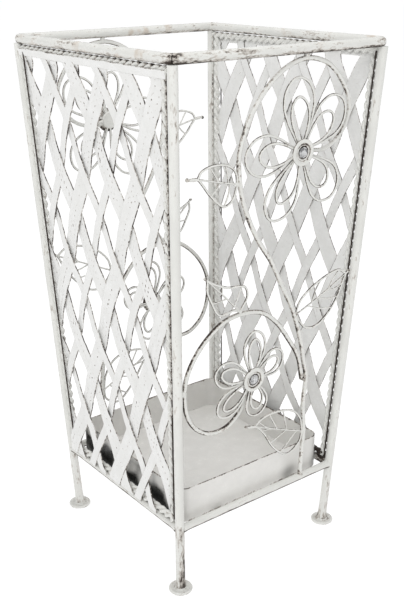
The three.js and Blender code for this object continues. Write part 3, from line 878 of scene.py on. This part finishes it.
def make_gem(panel, side, name, centre):
    """Cut stone: an eight-sided table, two rows of crown facets, a girdle and a foiled back."""
    base = panel.place((*centre, CUP_OFFSET + GEM_LIFT))
    first = panel.along
    second = np.cross(panel.normal, first)
    rows = [(0.30, 0.0, 0.5), (0.98, 1.1, 0.0), (1.0, 1.45, 0.0), (0.80, 2.3, 0.5), (0.52, 2.9, 0.0)]
    rings = []
    for share, height, shift in rows:
        angle = 2 * np.pi * (np.arange(8) + shift) / 8
        around = np.cos(angle)[:, None] * first + np.sin(angle)[:, None] * second
        rings.append(base + panel.normal * height + around * share * GEM_RADIUS)
    faces = []
    for i, (low, high) in enumerate(zip(rows[:-1], rows[1:])):
        for j in range(8):
            k = (j + 1) % 8
            a, b, c, d = i * 8 + j, i * 8 + k, (i + 1) * 8 + k, (i + 1) * 8 + j
            if low[2] == high[2]:
                faces.append((a, b, c, d))
            elif high[2] > low[2]:
                faces += [(a, b, d), (b, c, d)]
            else:
                faces += [(a, c, d), (a, b, c)]
    faces += [tuple(range(7, -1, -1)), tuple(range(32, 40))]
    surface = Surface()
    surface.add(np.array(rings), faces)
    surface.shades = [1 if max(face) < 16 else 0 for face in faces]
    looks = [STONE, FOIL[name]]
    surface.piece(f"{side}_{name}_stone", looks, STAND, "clear_stone", [f"{side}_{name}_gem"], 1.0)


def make_leaf(panel, side, name, leaf):
    base, neck, tip = (np.array(leaf[key], float) for key in ("base", "neck", "tip"))
    axis = unit(neck - base)
    aside = np.array((-axis[1], axis[0]))
    reach = np.linalg.norm(neck - base)

    def lifted(points):
        """Bows the leaf outwards between its base and tip and away from its midrib."""
        points = np.asarray(points, float)
        along = np.clip((points - base) @ axis / reach, 0, 1)
        out = np.abs((points - base) @ aside) / (0.3 * reach)
        height = leaf["bulge"] * np.sin(np.pi * along) * (0.35 + 0.65 * np.minimum(out, 1))
        return np.column_stack([points, height])

    surface = Surface()
    edges = {}
    for key in ("upper", "lower"):
        edges[key] = spline([base, *leaf[key], neck, tip], 1.8)
        seed = 70 + len(edges)
        wire(surface, panel, lifted(edges[key]), LEAF_RADIUS, seed)
    midrib = line(base, neck, 2.0)
    wire(surface, panel, lifted(midrib), VEIN_RADIUS * 1.15, 73, 12, 0.12, 0.2, 0.6)
    for order, (key, from_rib, to_edge) in enumerate(leaf["veins"]):
        start = base + from_rib * (neck - base)
        end = edges[key][round(to_edge * (len(edges[key]) - 1))]
        bow = aside * (-1 if key == "lower" else 1) * 1.2 - axis * 1.5
        path = spline([start, (start + end) / 2 + bow, end], 2.0)
        wire(surface, panel, lifted(path), VEIN_RADIUS, 74 + order, 12, 0.1, 0.2, 0.55)
    blob(surface, panel.place((*base, 0.3)), 2.3, 81, 0.4)
    blob(surface, panel.place(lifted([tip])[0]), 1.7, 82, 0.75)
    surface.piece(f"{side}_wire_{name}", [WIRE_PAINT], STAND, "wire_paint", [f"{side}_{name}"])


def make_scroll(side, turns):
    panel = Panel(turns)
    make_stem(panel, side)
    make_ring(panel, side)
    for name, flower in FLOWERS.items():
        make_flower(panel, side, name, flower)
        make_cup(panel, side, name, flower["centre"])
        make_gem(panel, side, name, flower["centre"])
    for name, leaf in LEAVES.items():
        make_leaf(panel, side, name, leaf)


# Drip tray ----------------------------------------------------------------------------------------

TRAY_CORNER = 12.0
TRAY_SHEET = 1.2
TRAY_FOLD = 0.6
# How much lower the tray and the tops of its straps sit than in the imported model
TRAY_SAG = 0.7


def rounded_loop(half_x, half_y, radius):
    """Points round a rounded rectangle, the same number for every size."""
    arc = np.radians(np.linspace(0, 90, 9))
    share = np.linspace(0, 1, 34)[1:-1, None]
    corners = []
    for quarter, (sign_x, sign_y) in enumerate(((1, 1), (-1, 1), (-1, -1), (1, -1))):
        turned = arc + quarter * math.pi / 2
        middle_x, middle_y = sign_x * (half_x - radius), sign_y * (half_y - radius)
        x, y = middle_x + radius * np.cos(turned), middle_y + radius * np.sin(turned)
        corners.append(np.column_stack([x, y]))
    loop = []
    for quarter in range(4):
        start, end = corners[quarter][-1], corners[(quarter + 1) % 4][0]
        loop += [corners[quarter], start + share * (end - start)]
    return np.concatenate(loop)


def tray_profile(bottom, top):
    """Inset from the outline, height and wear, from the middle of the underside round to the floor."""
    fold = TRAY_FOLD
    sheet = TRAY_SHEET
    bend = np.radians(np.linspace(0, 90, 5))
    rows = [(inset, bottom, 0.3) for inset in (86, 66, 46, 28, 14, 6)]
    rows += [(fold - fold * math.sin(a), bottom + fold - fold * math.cos(a), 0.8) for a in bend]
    rows += [(0, bottom + 1.8, 0.7)]
    rows += [(0, height, 0.05) for height in np.linspace(bottom + 4, top - 2.5, 10)]
    rows += [(0, top - 1.2, 0.45)]
    turn = np.radians((30, 90, 150))
    rows += [(sheet / 2 * (1 - math.cos(a)), top - 0.6 + 0.6 * math.sin(a), 0.95) for a in turn]
    rows += [(sheet, top - 1.4, 0.6)]
    rows += [(sheet, height, 0.1) for height in np.linspace(top - 4, bottom + 6, 7)]
    inside = [(sheet + fold - fold * math.cos(a), bottom + sheet + fold - fold * math.sin(a)) for a in bend]
    rows += [(inset, height, wear) for (inset, height), wear in zip(inside, (0.15, 0.4, 0.52, 0.4, 0.15))]
    rows += [(inset, bottom + sheet, 0.08) for inset in (6, 10, 18, 28, 40, 54, 70, 86)]
    return rows


def make_tray():
    low, high = box_mm("tray")
    bottom, top = low[2] - TRAY_SAG, high[2]
    rows = tray_profile(bottom, top)
    rings = []
    for row in rows:
        loop = rounded_loop(high[0] - row[0], high[1] - row[0], max(TRAY_CORNER - row[0], 0.8))
        rings.append(np.column_stack([loop, np.full(len(loop), row[1])]))
    points = np.array(rings)
    inset = np.array([row[0] for row in rows])[:, None]
    wear = np.array([row[2] for row in rows])[:, None] + 0 * points[..., 0]
    points[..., 2] += jitter(points, 50.0, 0.7, 91) * smooth(inset, 2, 25)
    up_wall = (points[..., 2] - bottom) / (top - bottom)
    sway = up_wall * np.abs(jitter(points * (1, 1, 0), 60.0, 1.2, 92))
    points[..., :2] -= unit(points * (1, 1, 0))[..., :2] * sway[..., None]
    from_middle = np.abs(points[..., 0]) + np.abs(points[..., 1])
    outermost = high[0] + high[1]
    in_corner = smooth(from_middle, outermost - 12, outermost - 5)
    in_fold = (inset > TRAY_SHEET + 0.1) & (inset < TRAY_SHEET + 3)
    outer_wall = inset < 0.1
    # Painted shadow on the outer walls: strips' shadows on the sides, patches front and back, two corners.
    shadow_blotches = smooth(jitter(points, 17.0, 1.0, 96) + 0.9 - 0.8 * up_wall, 0.0, 0.75)
    side_walls = smooth(np.abs(points[..., 0]), high[0] - 3, high[0] - 1.5)
    shaded_half = points[..., 0] * points[..., 1] < 0
    beside_stem = np.abs(points[..., 0]) - STEM_ROUTE[0][0] + 8
    from_stem = np.hypot(beside_stem, 1.2 * (points[..., 2] - bottom - 8))
    stem_shadow = 0.5 * np.exp(-(from_stem / 12) ** 2) * shaded_half * (1 - side_walls)
    corner_shade = np.exp(-((outermost - from_middle) / 13) ** 2)
    corner_shade = 0.8 * corner_shade * shaded_half * np.clip(1.2 - up_wall, 0, 1)
    surface = Surface()
    surface.add(
        points,
        grid_faces(len(rows), points.shape[1]),
        wear + 0.35 * in_corner * in_fold,
        soot=outer_wall * np.maximum(np.maximum(side_walls * shadow_blotches, stem_shadow), corner_shade),
    )
    surface.piece("drip_tray", [TRAY_PAINT], TRAY, "tray_paint", ["tray"], 50.0)


def make_straps():
    for hand in ("left", "right"):
        name = f"tray_strap_{hand}"
        low, high = box_mm(name)
        x0, x1, z0, z1 = low[0], high[0], low[2], high[2] - TRAY_SAG
        e = 0.5
        section = [
            (x0, z0 + e), (x0 + e, z0), (x1 - e, z0), (x1, z0 + e),
            (x1, z1 - e), (x1 - e, z1), (x0 + e, z1), (x0, z1 - e),
        ]
        y = np.linspace(low[1] - 0.6, high[1] + 0.6, 60)
        points = np.array([[(sx, at, sz) for sx, sz in section] for at in y])
        points[..., 2] -= np.abs(jitter(points, 25.0, 0.25, 95))
        surface = Surface()
        surface.add(points, grid_faces(60, 8, True), 0.35)
        surface.piece(f"support_strap_{hand}", [FOOT_PAINT], STAND, "frame_paint", [name])


# Scene --------------------------------------------------------------------------------------------

CAMERA_PLACE = (-0.5761, -0.7547, 0.6237)
CAMERA_TURN = (69.55, 0.29, -37.77)
SENSOR_WIDTH = 36
LENS = 55.5
FLOOR_HALF = 60.0
FLOOR_GREY = (0.3, 0.3, 0.3, 1)
FLOOR_GLOW = 0.82
WORLD_STRENGTH = 0.62
WHITE = (1, 1, 1, 1)


def make_camera():
    data = bpy.data.cameras.new("camera")
    data.sensor_width = SENSOR_WIDTH
    data.lens = LENS
    camera = bpy.data.objects.new("camera", data)
    camera.location = CAMERA_PLACE
    camera.rotation_euler = [math.radians(a) for a in CAMERA_TURN]
    bpy.context.scene.collection.objects.link(camera)
    bpy.context.scene.camera = camera


def make_floor():
    half = FLOOR_HALF
    corners = [(-half, -half, 0), (half, -half, 0), (half, half, 0), (-half, half, 0)]
    mesh = bpy.data.meshes.new("floor")
    mesh.from_pydata(corners, [], [(0, 1, 2, 3)])
    n = Nodes("floor")
    n.shader.inputs["Base Color"].default_value = FLOOR_GREY
    n.shader.inputs["Roughness"].default_value = 0.9
    n.shader.inputs["Specular IOR Level"].default_value = 0.0
    n.shader.inputs["Emission Color"].default_value = WHITE
    n.shader.inputs["Emission Strength"].default_value = FLOOR_GLOW
    mesh.materials.append(n.material)
    floor = bpy.data.objects.new("floor", mesh)
    bpy.context.scene.collection.objects.link(floor)


def area_light(name, place, target, width, power):
    data = bpy.data.lights.new(name, "AREA")
    data.shape = "DISK"
    data.size = width
    data.energy = power
    light = bpy.data.objects.new(name, data)
    light.location = place
    light.rotation_euler = (Vector(target) - Vector(place)).to_track_quat("-Z", "Y").to_euler()
    bpy.context.scene.collection.objects.link(light)


def make_lights():
    world = bpy.data.worlds.new("studio")
    bpy.context.scene.world = world
    world.use_nodes = True
    background = world.node_tree.nodes["Background"]
    background.inputs["Color"].default_value = WHITE
    background.inputs["Strength"].default_value = WORLD_STRENGTH
    area_light("key", (-1.6, -1.3, 1.9), (0, 0, 0.25), 1.2, 20)
    area_light("top", (0.1, -0.1, 2.6), (0, 0, 0.1), 1.0, 15)
    bpy.context.scene.view_settings.view_transform = "Standard"


make_camera()
make_floor()
make_lights()
make_posts()
make_feet()
make_rim()
make_rails()
make_lattice("right", 1, 1, "front", "back")
make_lattice("left", 3, -1, "back", "front")
make_scroll("front", 0)
make_scroll("back", 2)
make_tray()
make_straps()
